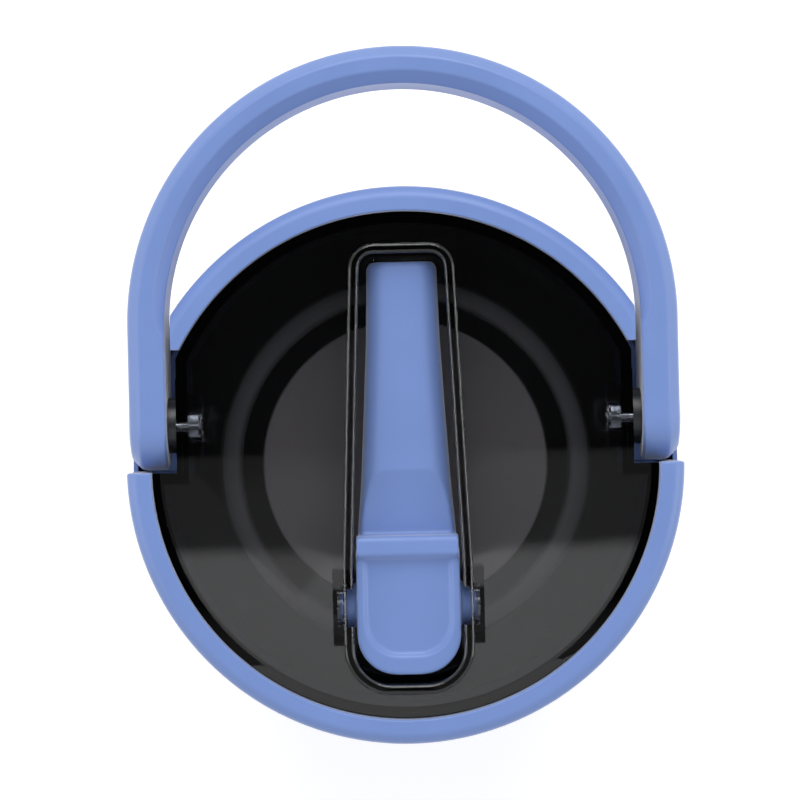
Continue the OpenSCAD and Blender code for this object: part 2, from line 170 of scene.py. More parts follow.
def moulded(name, code, roughness, grain_mm, bump_mm):
    finish, tree, shader = new_finish(name)
    place = add_node(tree, "ShaderNodeTexCoord").outputs["Object"]
    grain = add_node(tree, "ShaderNodeTexNoise", Vector=place, Scale=per_mm(grain_mm), Detail=2.0)
    patches = add_node(tree, "ShaderNodeTexNoise", Vector=place, Scale=per_mm(22), Detail=3.0)
    rough = add_node(tree, "ShaderNodeMapRange", Value=patches.outputs["Fac"], i1=0.35, i2=0.65,
                     i3=roughness - 0.05, i4=roughness + 0.05)
    tone = add_node(tree, "ShaderNodeMapRange", Value=patches.outputs["Fac"], i1=0.3, i2=0.7,
                    i3=0.975, i4=1.025)
    shade = add_node(tree, "ShaderNodeHueSaturation", Value=tone.outputs["Result"], Color=srgb(code))
    bump = add_node(tree, "ShaderNodeBump", Strength=0.35, Distance=bump_mm * MM,
                    Height=grain.outputs["Fac"])
    tree.links.new(shade.outputs["Color"], shader.inputs["Base Color"])
    tree.links.new(rough.outputs["Result"], shader.inputs["Roughness"])
    tree.links.new(bump.outputs["Normal"], shader.inputs["Normal"])
    shader.inputs["IOR"].default_value = 1.49
    return finish


blue_plastic = moulded("moulded_polypropylene_blue", "#6D88C4", 0.42, 0.28, 0.012)
blue_shader = blue_plastic.node_tree.nodes["Principled BSDF"]
blue_shader.inputs["Sheen Weight"].default_value = 0.6
blue_shader.inputs["Sheen Roughness"].default_value = 0.4
port_plastic = moulded("moulded_polypropylene_port", "#7F97CF", 0.36, 0.3, 0.01)
acetal = moulded("moulded_acetal_black", "#26282D", 0.34, 0.3, 0.008)
silicone = moulded("moulded_silicone", "#59606F", 0.58, 0.4, 0.02)
print("blue plastic", blue_plastic.name)

# %% [markdown]
# ### Smoke copolyester
# The cover is clear copolyester with a smoke tint, moulded in a polished tool. The tint is
# in the plastic, so it deepens with thickness: a thin plate is grey, a wall seen edge-on is
# nearly black, with a blue cast from the pieces around it. Absorption in the volume does
# this by itself. A flow-mark bump so slow that it only bends reflections keeps it from
# looking like a computed mirror.

# %% Smoke-tinted clear plastic
smoke, tree, shader = new_finish("smoke_copolyester")
shader.inputs["Base Color"].default_value = srgb("#F2F4F8")
shader.inputs["Transmission Weight"].default_value = 1.0
shader.inputs["Roughness"].default_value = 0.012
shader.inputs["IOR"].default_value = 1.57
place = add_node(tree, "ShaderNodeTexCoord").outputs["Object"]
flow = add_node(tree, "ShaderNodeTexNoise", Vector=place, Scale=per_mm(9), Detail=1.0)
ripple = add_node(tree, "ShaderNodeBump", Strength=0.05, Distance=0.05 * MM, Height=flow.outputs["Fac"])
tree.links.new(ripple.outputs["Normal"], shader.inputs["Normal"])
depth_tint = add_node(tree, "ShaderNodeVolumeAbsorption", Color=srgb("#6F7480"), Density=95.0)
tree.links.new(depth_tint.outputs["Volume"], tree.nodes["Material Output"].inputs["Volume"])
print("smoke plastic passes", round(math.exp(-95 * 0.0026 * (1 - srgb("#6F7480")[0])), 2), "of red light")

# %% [markdown]
# ### Black inner plate
# The plate under the cover is black polypropylene with a satin mould finish. What shows of
# it is broad and soft, so its highlight is wide.

# %% Black polypropylene
black_plastic = moulded("moulded_polypropylene_black", "#2B2A2C", 0.5, 0.35, 0.02)
print(black_plastic.name)

# %% [markdown]
# ### Powder coat
# The steel body is powder-coated. The powder melts into a skin with two scales of relief:
# a fine grain of about a third of a millimetre, and a slow orange peel of two or three
# millimetres. Sliding it on tables rubs the coat smooth and a little darker near the foot.

# %% Powder coat
powder, tree, shader = new_finish("powder_coat_blue")
place = add_node(tree, "ShaderNodeTexCoord").outputs["Object"]
grain = add_node(tree, "ShaderNodeTexNoise", Vector=place, Scale=per_mm(0.35), Detail=3.0)
peel = add_node(tree, "ShaderNodeTexNoise", Vector=place, Scale=per_mm(2.6), Detail=1.0)
relief = add_node(tree, "ShaderNodeMath", {"operation": "ADD"}, i0=grain.outputs["Fac"], i1=peel.outputs["Fac"])
bump = add_node(tree, "ShaderNodeBump", Strength=0.5, Distance=0.03 * MM, Height=relief.outputs["Value"])
speck = add_node(tree, "ShaderNodeMapRange", Value=grain.outputs["Fac"], i1=0.3, i2=0.7, i3=0.94, i4=1.05)
coat = add_node(tree, "ShaderNodeHueSaturation", Value=speck.outputs["Result"], Color=srgb("#6C88C8"))
height = add_node(tree, "ShaderNodeSeparateXYZ", Vector=place)
rubbed = add_node(tree, "ShaderNodeMapRange", Value=height.outputs["Z"], i1=0.002, i2=0.012, i3=0.38, i4=0.56)
tree.links.new(coat.outputs["Color"], shader.inputs["Base Color"])
tree.links.new(rubbed.outputs["Result"], shader.inputs["Roughness"])
tree.links.new(bump.outputs["Normal"], shader.inputs["Normal"])
print(powder.name)

# %% [markdown]
# ### Stainless steel
# The liner, base and nuts are 18/8 stainless steel, spun and brushed around the jug's
# axis, so fine rings run round it. A noise stretched along one axis gives the rings. The
# screws and their caps are tumbled and polished, with only faint marks left.

# %% Brushed and polished steel
steel, tree, shader = new_finish("stainless_steel_brushed")
place = add_node(tree, "ShaderNodeTexCoord").outputs["Object"]
stretch = add_node(tree, "ShaderNodeMapping", Vector=place, Scale=(40.0, 40.0, per_mm(0.5)))
rings = add_node(tree, "ShaderNodeTexNoise", Vector=stretch.outputs["Vector"], Scale=1.0, Detail=4.0)
rough = add_node(tree, "ShaderNodeMapRange", Value=rings.outputs["Fac"], i1=0.3, i2=0.7, i3=0.24, i4=0.38)
bump = add_node(tree, "ShaderNodeBump", Strength=0.3, Distance=0.01 * MM, Height=rings.outputs["Fac"])
shader.inputs["Base Color"].default_value = srgb("#CFCFD0")
shader.inputs["Metallic"].default_value = 1.0
tree.links.new(rough.outputs["Result"], shader.inputs["Roughness"])
tree.links.new(bump.outputs["Normal"], shader.inputs["Normal"])

polished, tree, shader = new_finish("stainless_steel_polished")
place = add_node(tree, "ShaderNodeTexCoord").outputs["Object"]
marks = add_node(tree, "ShaderNodeTexNoise", Vector=place, Scale=per_mm(0.8), Detail=4.0)
rough = add_node(tree, "ShaderNodeMapRange", Value=marks.outputs["Fac"], i1=0.35, i2=0.7, i3=0.08, i4=0.2)
shader.inputs["Base Color"].default_value = srgb("#D6D7D9")
shader.inputs["Metallic"].default_value = 1.0
tree.links.new(rough.outputs["Result"], shader.inputs["Roughness"])
print(steel.name, polished.name)

# %% [markdown]
# ### Straw
# The straw is extruded polyethylene, milky and a little see-through. Mixing some
# transmission into a pale plastic gives that. Extrusion leaves fine lines along it.

# %% Polyethylene
straw_plastic, tree, shader = new_finish("extruded_polyethylene")
place = add_node(tree, "ShaderNodeTexCoord").outputs["Object"]
stretch = add_node(tree, "ShaderNodeMapping", Vector=place, Scale=(per_mm(0.6), per_mm(0.6), 20.0))
lines = add_node(tree, "ShaderNodeTexNoise", Vector=stretch.outputs["Vector"], Scale=1.0, Detail=2.0)
bump = add_node(tree, "ShaderNodeBump", Strength=0.2, Distance=0.02 * MM, Height=lines.outputs["Fac"])
rough = add_node(tree, "ShaderNodeMapRange", Value=lines.outputs["Fac"], i1=0.3, i2=0.7, i3=0.3, i4=0.4)
shader.inputs["Base Color"].default_value = srgb("#E3E8F1")
shader.inputs["Transmission Weight"].default_value = 0.5
shader.inputs["IOR"].default_value = 1.51
tree.links.new(rough.outputs["Result"], shader.inputs["Roughness"])
tree.links.new(bump.outputs["Normal"], shader.inputs["Normal"])
print(straw_plastic.name)

# %% [markdown]
# ## Shaping
# Moulded and pressed pieces are mostly one outline, turned round the jug's axis or pushed
# up from a plan. So a piece starts as a flat face whose corners are rounded, and an
# operator gives it depth. Where two shapes meet or one is cut out of the other, the exact
# Boolean solver does it. A last bevel breaks the sharp edges, because it is the small
# rounding of an edge that catches the light.

# %% Outlines, turning and pushing


def outline(points, flat="XZ"):
    """A flat face through points of (across, up, rounding), in millimetres."""
    shape = bmesh.new()
    ring = []
    for across, up, rounding in points:
        place = (across, 0, up) if flat == "XZ" else (across, up, 0)
        ring.append(shape.verts.new(place))
    shape.faces.new(ring)
    for size in sorted({p[2] for p in points if p[2] > 0}):
        chosen = [v for v, p in zip(ring, points) if p[2] == size]
        steps = 3 if size < 1 else 8
        bmesh.ops.bevel(shape, geom=chosen, offset=size, offset_type="OFFSET", affect="VERTICES",
                        segments=steps, profile=0.5, material=-1)
    return shape


def turned(points, steps=192, angle=math.tau):
    """An outline of (radius, height, rounding), turned round the upright axis."""
    shape = outline(points)
    bmesh.ops.delete(shape, geom=list(shape.faces), context="FACES_ONLY")
    on_axis = [e for e in shape.edges if max(abs(v.co.x) for v in e.verts) < 1e-5]
    bmesh.ops.delete(shape, geom=on_axis, context="EDGES")
    whole = angle > math.tau - 0.001
    bmesh.ops.spin(shape, geom=list(shape.verts) + list(shape.edges), cent=(0, 0, 0), axis=(0, 0, 1),
                   dvec=(0, 0, 0), angle=angle, steps=steps, use_merge=whole)
    bmesh.ops.remove_doubles(shape, verts=list(shape.verts), dist=0.0005)
    if not whole:
        rim = [e for e in shape.edges if e.is_boundary]
        bmesh.ops.holes_fill(shape, edges=rim, sides=0)
    bmesh.ops.recalc_face_normals(shape, faces=list(shape.faces))
    return shape


def pushed(points, low, high):
    """A plan of (x, y, rounding), pushed up from one height to another."""
    shape = outline(points, "XY")
    bmesh.ops.translate(shape, vec=(0, 0, low), verts=list(shape.verts))
    made = bmesh.ops.extrude_face_region(shape, geom=list(shape.faces), use_keep_orig=True)
    top = [g for g in made["geom"] if isinstance(g, bmesh.types.BMVert)]
    bmesh.ops.translate(shape, vec=(0, 0, high - low), verts=top)
    bmesh.ops.recalc_face_normals(shape, faces=list(shape.faces))
    return shape


def block(low, high):
    """A cutting block between two corners."""
    low, high = Vector(low), Vector(high)
    shape = bmesh.new()
    size = Matrix.Diagonal((*(high - low), 1))
    bmesh.ops.create_cube(shape, size=1, matrix=Matrix.Translation((low + high) / 2) @ size)
    return shape


def rod(radius, start, end, steps=64):
    """A round rod from one place to another."""
    start, end = Vector(start), Vector(end)
    along = end - start
    turn = along.to_track_quat("Z", "Y").to_matrix().to_4x4()
    shape = bmesh.new()
    bmesh.ops.create_cone(shape, cap_ends=True, segments=steps, radius1=radius, radius2=radius,
                          depth=along.length, matrix=Matrix.Translation((start + end) / 2) @ turn)
    return shape


print("a turned test ring has", len(turned([(10, 0, 0), (12, 0, 0), (12, 2, 0.4), (10, 2, 0)]).faces), "faces")

# %% Joining, cutting, rounding and finishing


def scratch_object(shape):
    mesh = bpy.data.meshes.new("scratch")
    bmesh.ops.recalc_face_normals(shape, faces=list(shape.faces))
    shape.to_mesh(mesh)
    shape.free()
    made = bpy.data.objects.new("scratch", mesh)
    bpy.context.scene.collection.objects.link(made)
    return made


def combined(shape, other, operation):
    """DIFFERENCE cuts the other shape out, UNION joins it, INTERSECT keeps what both fill."""
    first = scratch_object(shape)
    second = scratch_object(other)
    step = first.modifiers.new("combine", "BOOLEAN")
    step.operation = operation
    step.solver = "EXACT"
    step.object = second
    bpy.context.view_layer.update()
    result = bmesh.new()
    result.from_object(first, bpy.context.evaluated_depsgraph_get())
    for used in (first, second):
        mesh = used.data
        bpy.data.objects.remove(used)
        bpy.data.meshes.remove(mesh)
    bmesh.ops.remove_doubles(result, verts=list(result.verts), dist=0.002)
    return result


def joined(*shapes):
    """Several separate closed shapes in one mesh."""
    result = bmesh.new()
    for shape in shapes:
        mesh = bpy.data.meshes.new("scratch")
        bmesh.ops.recalc_face_normals(shape, faces=list(shape.faces))
        shape.to_mesh(mesh)
        shape.free()
        result.from_mesh(mesh)
        bpy.data.meshes.remove(mesh)
    return result


def tidy_flats(shape, degrees=0.4):
    """Joins faces that lie in one plane, so that the bevel meets clean edges."""
    bmesh.ops.dissolve_limit(shape, angle_limit=math.radians(degrees), verts=list(shape.verts),
                             edges=list(shape.edges))
    return shape


def round_edges(shape, radius, where=None, steps=3, sharper_than=28):
    """Bevels the sharp edges whose middle the test picks."""
    chosen = []
    for edge in shape.edges:
        middle = (edge.verts[0].co + edge.verts[1].co) / 2
        if len(edge.link_faces) == 2 and edge.calc_face_angle() > math.radians(sharper_than):
            if where is None or where(middle):
                chosen.append(edge)
    bmesh.ops.bevel(shape, geom=chosen, offset=radius, offset_type="OFFSET", affect="EDGES",
                    segments=steps, profile=0.5, material=-1, clamp_overlap=True)
    return len(chosen)


def piece(shape, name, body, slot, finish, *stands_for, sharp=40, weighted=True):
    """Makes the finished piece: metres, smooth shading, its finish, and the body it moves with."""
    bmesh.ops.scale(shape, vec=(MM, MM, MM), verts=list(shape.verts))
    mesh = bpy.data.meshes.new(name)
    shape.to_mesh(mesh)
    shape.free()
    mesh.shade_smooth()
    mesh.set_sharp_from_angle(angle=math.radians(sharp))
    mesh.materials.append(finish)
    made = bpy.data.objects.new(name, mesh)
    bpy.context.scene.collection.objects.link(made)
    if weighted:
        made.modifiers.new("flat_faces_lead", "WEIGHTED_NORMAL").keep_sharp = True
    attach(made, body)
    if stands_for:
        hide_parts(*stands_for)
    print(name, len(mesh.vertices), "vertices, size in mm", [round(v / MM, 1) for v in made.dimensions])
    return made


print("tools ready")

# %% [markdown]
# ## Lid collar
# The collar is the blue ring that holds the lid together. It is moulded with a flat land on
# top, a chamfer round the outside, and a window on each side where the handle's legs lie.
# Below the windows it is a whole ring, so it is built as that ring and two arcs above it.
# Each arc is half a turn whose corners are then re-spaced, so that its ends fall exactly on
# the flat sides of the windows.

# %% Collar
plate_z = corners("lid_gasket")[1].z
shell_z = shell_low.z
shell_r = shell_high.y
strap_half = (strap_high.z - strap_low.z) / 2
notch_z = handle_pivot.z - strap_half - 0.5
strap_in = strap_high.x - 8.1
notch_x = strap_in - 2.2
chord_x = notch_x + 0.9
collar_in = collar_r - 3.2
land_in = collar_r - 5.4
ledge_r = land_in - 3

ring = turned([
    (collar_in, collar_low.z, 0.4), (collar_r - 0.8, collar_low.z, 0.3), (collar_r, collar_low.z + 0.8, 0.3),
    (collar_r, notch_z, 0), (collar_in, notch_z, 0), (collar_in, plate_z, 0), (ledge_r, plate_z, 0.3),
    (ledge_r, plate_z - 2.4, 0.3), (collar_in, plate_z - 3.4, 0)], steps=256)
arc_section = [
    (collar_in, notch_z, 0), (collar_r, notch_z, 0), (collar_r, lid_top - 1.6, 0.9),
    (collar_r - 1.9, lid_top, 0.8), (land_in, lid_top, 0.45), (land_in, lid_top - 6, 0), (collar_in, lid_top - 8, 0)]


def respaced(shape, start_of, end_of):
    """Moves the corners of a half turn so that it runs between two ends, given for each radius."""
    for vert in shape.verts:
        radius = math.hypot(vert.co.x, vert.co.y)
        share = math.atan2(max(vert.co.y, 0), vert.co.x) / math.pi
        angle = start_of(radius) + (end_of(radius) - start_of(radius)) * share
        vert.co.x = radius * math.cos(angle)
        vert.co.y = radius * math.sin(angle)
    return shape


front_y = -0.5
front_arc = respaced(turned(arc_section, steps=128, angle=math.pi),
                     lambda r: math.pi + math.asin(-front_y / r), lambda r: math.tau - math.asin(-front_y / r))
rear_arc = respaced(turned(arc_section, steps=96, angle=math.pi),
                    lambda r: math.acos(chord_x / r), lambda r: math.pi - math.acos(chord_x / r))
tip_cut = block((-90, 0, notch_z - 5), (90, 25.8, 300))
rear_arc = combined(rear_arc, tip_cut, "DIFFERENCE")
for arc, at_end in ((front_arc, lambda p: abs(p.y - front_y) < 0.01), (rear_arc, lambda p: abs(abs(p.x) - chord_x) < 0.01 or abs(p.y - 25.8) < 0.01)):
    bmesh.ops.recalc_face_normals(arc, faces=list(arc.faces))
    print("end edges rounded:", round_edges(arc, 0.45, lambda p: at_end(p) and p.z > notch_z + 1))

floors = []
for side in (-1, 1):
    floor_plate = rod(collar_r - 1, (0, 0, notch_z - 2.4), (0, 0, notch_z), steps=192)
    keep = block((notch_x + 0.1, front_y, 0), (90, 90, 300)) if side > 0 else block((-90, front_y, 0), (-notch_x - 0.1, 90, 300))
    floors.append(combined(floor_plate, keep, "INTERSECT"))
collar = piece(joined(ring, front_arc, rear_arc, *floors), "lid_collar_moulding", "lid", "blue_plastic",
               blue_plastic, "lid_collar")

# %% [markdown]
# ## Handle
# The handle is one strap, 19 mm wide and 8 mm thick, bent into a bail. Its section has wide
# chamfers outside. Inside, a soft chamfer for the fingers grows out of nothing where the
# arch begins. So the section is spun through half a turn for the arch, its edge loops are
# pulled along for the legs, and the half circles at the feet are spun round the pivots.
# Then the inner chamfer is shrunk towards its corner along the legs.

# %% Handle
arch_y = strap_high.y - strap_high.x
strap_out = strap_high.x
grip = 2.6
pivot = handle_pivot
section = [
    (strap_in, 0, 0), (strap_in, strap_half - grip, 0.4), (strap_in + grip, strap_half, 0.35),
    (strap_out - 2.4, strap_half, 0.5), (strap_out, strap_half - 2.4, 0.8), (strap_out, 0, 0),
    (strap_out, -strap_half + 2.4, 0.8), (strap_out - 2.4, -strap_half, 0.5), (strap_in + grip, -strap_half, 0.35),
    (strap_in, -strap_half + grip, 0.4)]
strap = outline(section)
bmesh.ops.delete(strap, geom=list(strap.faces), context="FACES_ONLY")
bmesh.ops.translate(strap, vec=(0, arch_y, pivot.z), verts=list(strap.verts))
bmesh.ops.spin(strap, geom=list(strap.verts) + list(strap.edges), cent=(0, arch_y, pivot.z), axis=(0, 0, 1),
               dvec=(0, 0, 0), angle=math.pi, steps=144, use_merge=False)
for side in (-1, 1):
    loop = [e for e in strap.edges if e.is_boundary and all(abs(v.co.y - arch_y) < 0.001 for v in e.verts)
            and all(v.co.x * side > 0 for v in e.verts)]
    for step in range(12):
        made = bmesh.ops.extrude_edge_only(strap, edges=loop)
        moved = [g for g in made["geom"] if isinstance(g, bmesh.types.BMVert)]
        bmesh.ops.translate(strap, vec=(0, -(arch_y - pivot.y) / 12, 0), verts=moved)
        loop = [g for g in made["geom"] if isinstance(g, bmesh.types.BMEdge) and g.is_boundary
                and all(v in set(moved) for v in g.verts)]
    upper = [e for e in loop if all(v.co.z > pivot.z - 0.001 for v in e.verts)]
    ends = list({v for e in upper for v in e.verts})
    bmesh.ops.spin(strap, geom=ends + upper, cent=tuple(pivot), axis=(1, 0, 0), dvec=(0, 0, 0),
                   angle=math.pi, steps=32, use_merge=False)
bmesh.ops.remove_doubles(strap, verts=list(strap.verts), dist=0.001)


def chamfer_share(place):
    """How much of the inner chamfer there is: none on the legs, all of it on the arch."""
    rise = min(max((place.y - (arch_y - 1)) / 10.5, 0), 1)
    return 0.2 + 0.8 * math.sqrt(max(1 - (1 - rise) ** 2, 0))


for vert in strap.verts:
    if vert.co.y > arch_y:
        from_middle = Vector((vert.co.x, vert.co.y - arch_y, 0))
    else:
        from_middle = Vector((vert.co.x, 0, 0))
    inward = from_middle.length - strap_in
    if vert.co.y >= pivot.y - 0.001:
        up = vert.co.z - pivot.z
        spare = strap_half - abs(up)
        foot = None
    else:
        foot = Vector((0, vert.co.y - pivot.y, vert.co.z - pivot.z))
        spare = strap_half - foot.length
    if inward < grip + 1.2 and spare < grip + 1.2:
        share = chamfer_share(vert.co)
        pull = from_middle.normalized() * (inward * share - inward)
        vert.co += pull
        if foot is None:
            vert.co.z += math.copysign(spare - spare * share, up)
        else:
            vert.co += foot.normalized() * (spare - spare * share)
bmesh.ops.recalc_face_normals(strap, faces=list(strap.faces))
print("open edges:", sum(e.is_boundary for e in strap.edges))
for side in (-1, 1):
    seat = rod(5.3, (side * (strap_out - 2.9), pivot.y, pivot.z), (side * 70, pivot.y, pivot.z))
    bore = rod(3.8, (side * (strap_in - 2), pivot.y, pivot.z), (side * 70, pivot.y, pivot.z))
    strap = combined(combined(strap, seat, "DIFFERENCE"), bore, "DIFFERENCE")
handle = piece(strap, "bail_handle", "handle", "blue_plastic", blue_plastic, "handle")

# %% [markdown]
# ## Spout
# The spout is one moulding: a mouthpiece that widens into a barrel, a ledge for the thumb, a
# dished pad for the finger, and two trunnions. Sections strung along it are bridged into
# the mouthpiece. The rest is joined on and cut away with Booleans. A moulding has no
# sharp inner corners, so the whole is remeshed finely and relaxed, which rounds every
# edge and blends every corner by about half a millimetre, as a worn mould does.

# %% Spout body
hinge = spout_pivot
tip_y = spout_high.y
ledge_y = hinge.y + 13
sections = [
    (tip_y, 13.4, 9.8), (tip_y - 0.5, 14.4, 10.6), (tip_y - 1.4, 15.2, 11.2), (27.25, 16.0, 12.0), (11.3, 17.7, 12.0),
    (-3.48, 19.4, 12.0), (-15.3, 21.4, 12.0), (hinge.y + 5.0, 22.3, 11.4)]


def slice_loop(shape, place_y, width, height):
    """A rounded rectangle standing across the spout, as a loop of edges."""
    r = height * 0.42
    before = set(shape.verts)
    bmesh.ops.create_circle(shape, cap_ends=False, segments=64, radius=r)
    ring = [v for v in shape.verts if v not in before]
    for vert in ring:
        x, z = vert.co.x, vert.co.y
        x += math.copysign(width / 2 - r, x) if abs(x) > 1e-6 else 0
        z += math.copysign(height / 2 - r, z) if abs(z) > 1e-6 else 0
        vert.co = Vector((x, place_y, hinge.z + z))
    return list({e for v in ring for e in v.link_edges})


tube = bmesh.new()
loops = [slice_loop(tube, *one) for one in sections]
for first, second in zip(loops, loops[1:]):
    bmesh.ops.bridge_loops(tube, edges=first + second)
bmesh.ops.holes_fill(tube, edges=[e for e in tube.edges if e.is_boundary], sides=0)
ledge = outline([(hinge.y + 13 + y, hinge.z + z, r) for y, z, r in [
    (2.2, 3, 0), (2.2, 8.4, 0.6), (1.4, 9, 0.5), (-1.8, 9, 0.5), (-2.4, 8.4, 0.6), (-4, 5, 0), (-4, 3, 0)]], "XZ")
bmesh.ops.rotate(ledge, cent=(0, 0, 0), matrix=Matrix.Rotation(math.pi / 2, 3, "Z"), verts=list(ledge.verts))
bmesh.ops.translate(ledge, vec=(-10.95, 0, 0), verts=list(ledge.verts))
made = bmesh.ops.extrude_face_region(ledge, geom=list(ledge.faces), use_keep_orig=True)
bmesh.ops.translate(ledge, vec=(21.9, 0, 0), verts=[g for g in made["geom"] if isinstance(g, bmesh.types.BMVert)])
pad_front = hinge.y - 14.7
pad = pushed([(-11.15, ledge_y - 1, 0), (11.15, ledge_y - 1, 0), (11.15, pad_front, 8.5), (-11.15, pad_front, 8.5)],
             hinge.z + 5.2, hinge.z + 7.4)
dish = pushed([(-9.35, ledge_y - 1.6, 0), (9.35, ledge_y - 1.6, 0), (9.35, pad_front + 4, 7.4), (-9.35, pad_front + 4, 7.4)],
              hinge.z + 6.5, hinge.z + 12)
scoop = rod(37, (-20, ledge_y + 3.3, hinge.z + 40.6), (20, ledge_y + 3.3, hinge.z + 40.6), steps=256)
bore = rod(2.6, (0, hinge.y - 8, hinge.z), (0, tip_y + 1, hinge.z))
spout = combined(tube, scoop, "DIFFERENCE")
spout = combined(spout, pad, "UNION")
spout = combined(spout, dish, "DIFFERENCE")
print("ledge ends rounded:", round_edges(ledge, 0.8, lambda p: abs(p.x) > 10.8))
for part in (ledge, rod(5.6, (-11.15, hinge.y, hinge.z), (11.15, hinge.y, hinge.z)),
             rod(4.6, (-15.0, hinge.y, hinge.z), (15.0, hinge.y, hinge.z))):
    spout = combined(spout, part, "UNION")
spout = combined(spout, bore, "DIFFERENCE")

remesh_object = scratch_object(spout)
step = remesh_object.modifiers.new("even_skin", "REMESH")
step.mode = "VOXEL"
step.voxel_size = 0.42
step = remesh_object.modifiers.new("relax", "SMOOTH")
step.factor = 0.5
step.iterations = 4
bpy.context.view_layer.update()
spout = bmesh.new()
spout.from_object(remesh_object, bpy.context.evaluated_depsgraph_get())
used = remesh_object.data
bpy.data.objects.remove(remesh_object)
bpy.data.meshes.remove(used)
spout_piece = piece(spout, "flip_spout", "spout", "blue_plastic", blue_plastic, "spout", sharp=180, weighted=False)

# %% [markdown]
# ## Clear cover
# The cover is one clear moulding: a round top plate with a notch on each side for the
# handle, a wall round its edge, a channel that the spout lies in, bosses for the nuts and
# pads for the spout's hinge. Its front half falls away by a few degrees from a crease. It
# is built as it would be cut: a solid block less its inside, plus the channel, less the
# channel's space.

# %% Cover
inner_face = notch_x - 2.4
wall = 2.4
crease_y = 3.3
fall = math.radians(2.5)
channel_half = 11.15 + 0.65
channel_front = -(collar_r - 13)
channel_rear = shell_r - 9
rear_half = 9.0
floor_z = hinge.z - 6.7
deep_z = hinge.z - 16.4
deep_rear = hinge.y + 5.2


def plan_block(inset, low, high):
    """The lid's outline, a disc with its two notches, pushed up."""
    shape = rod(shell_r - inset, (0, 0, low), (0, 0, high), steps=256)
    for side in (-1, 1):
        inner = side * (notch_x - inset)
        low_x, high_x = sorted((inner, side * 90))
        notch = block((low_x, front_y - 0.1 - inset, low - 5), (high_x, 90, high + 5))
        shape = combined(shape, notch, "DIFFERENCE")
    return shape


def above_top(depth):
    """What lies over the lid's top: level behind the crease, falling in front of it."""
    drop = (crease_y + 100) * math.tan(fall)
    z = lid_top - depth
    side_view = outline([(-100, z - drop, 0), (crease_y, z, 0), (100, z, 0), (100, z + 60, 0), (-100, z + 60, 0)])
    bmesh.ops.rotate(side_view, cent=(0, 0, 0), matrix=Matrix.Rotation(math.pi / 2, 3, "Z"), verts=list(side_view.verts))
    bmesh.ops.translate(side_view, vec=(-100, 0, 0), verts=list(side_view.verts))
    made = bmesh.ops.extrude_face_region(side_view, geom=list(side_view.faces), use_keep_orig=True)
    bmesh.ops.translate(side_view, vec=(200, 0, 0), verts=[g for g in made["geom"] if isinstance(g, bmesh.types.BMVert)])
    return side_view


def channel_plan(grow, low, high):
    """The channel's outline, grown by a wall, pushed up."""
    wide = channel_half + grow
    slim = rear_half + grow
    front = channel_front - grow
    waist = ledge_y - 4
    return pushed([
        (slim, channel_rear + grow, 3 + grow), (-slim, channel_rear + grow, 3 + grow), (-wide, waist, 0),
        (-wide, front, 8 + grow), (wide, front, 8 + grow), (wide, waist, 0)], low, high)


cover = plan_block(0, shell_z, lid_top)
inside = combined(plan_block(wall, shell_z - 1, lid_top), above_top(2.6), "DIFFERENCE")
cover = combined(cover, inside, "DIFFERENCE")
cover = combined(cover, above_top(0), "DIFFERENCE")
rebate = turned([(shell_r - 1.8, lid_top - 2, 0), (shell_r + 1, lid_top - 2, 0), (shell_r + 1, lid_top + 1, 0),
                 (shell_r - 1.8, lid_top + 1, 0)], steps=256)
cover = combined(cover, rebate, "DIFFERENCE")
print("plate and wall:", len(cover.faces), "faces")

channel_body = channel_plan(2.2, floor_z - 1.8, lid_top + 0.8)
deep_body = combined(channel_plan(2.2, deep_z - 1.8, lid_top - 0.01),
                     block((-90, -90, 0), (90, deep_rear + 1.8, 400)), "INTERSECT")
channel_body = combined(channel_body, deep_body, "UNION")
for side in (-1, 1):
    low_x, high_x = sorted((side * (channel_half - 0.5), side * 16.3))
    channel_body = combined(channel_body, block((low_x, hinge.y - 8.25, hinge.z - 6.6), (high_x, hinge.y + 8.25, lid_top - 1.2)), "UNION")
cover = combined(cover, channel_body, "UNION")
for side in (-1, 1):
    low_x, high_x = sorted((side * (inner_face - 2.7), side * (inner_face + 0.5)))
    boss = block((low_x, pivot.y - 6.65, pivot.z - 6.65), (high_x, pivot.y + 6.65, pivot.z + 6.65))
    cover = combined(cover, boss, "UNION")

space = channel_plan(0, floor_z, 300)
deep_space = combined(channel_plan(0, deep_z, 299), block((-90, -90, 0), (90, deep_rear, 400)), "INTERSECT")
space = combined(space, deep_space, "UNION")
cover = combined(cover, space, "DIFFERENCE")
for side in (-1, 1):
    through = rod(1.75, (side * 40, pivot.y, pivot.z), (side * (notch_x + 1), pivot.y, pivot.z))
    nut_seat = rod(3.6, (side * 40, pivot.y, pivot.z), (side * inner_face, pivot.y, pivot.z))
    for cutter in (through, nut_seat):
        cover = combined(cover, cutter, "DIFFERENCE")
port_hole = rod(3.8, (0, hinge.y, hinge.z - 12.4), (0, deep_rear + 2.8, hinge.z - 12.4))
cover = combined(cover, port_hole, "DIFFERENCE")
tidy_flats(cover)
print("cover cut:", len(cover.faces), "faces")

rim = round_edges(cover, 1.0, lambda p: p.z > lid_top - 6 and math.hypot(p.x, p.y) > shell_r - 2.5, steps=4)
lip = round_edges(cover, 0.75, lambda p: p.z > lid_top + 0.6, steps=4)
rest = round_edges(cover, 0.3, lambda p: p.z > shell_z + 2, steps=2, sharper_than=40)
print("edges rounded:", rim, lip, rest)

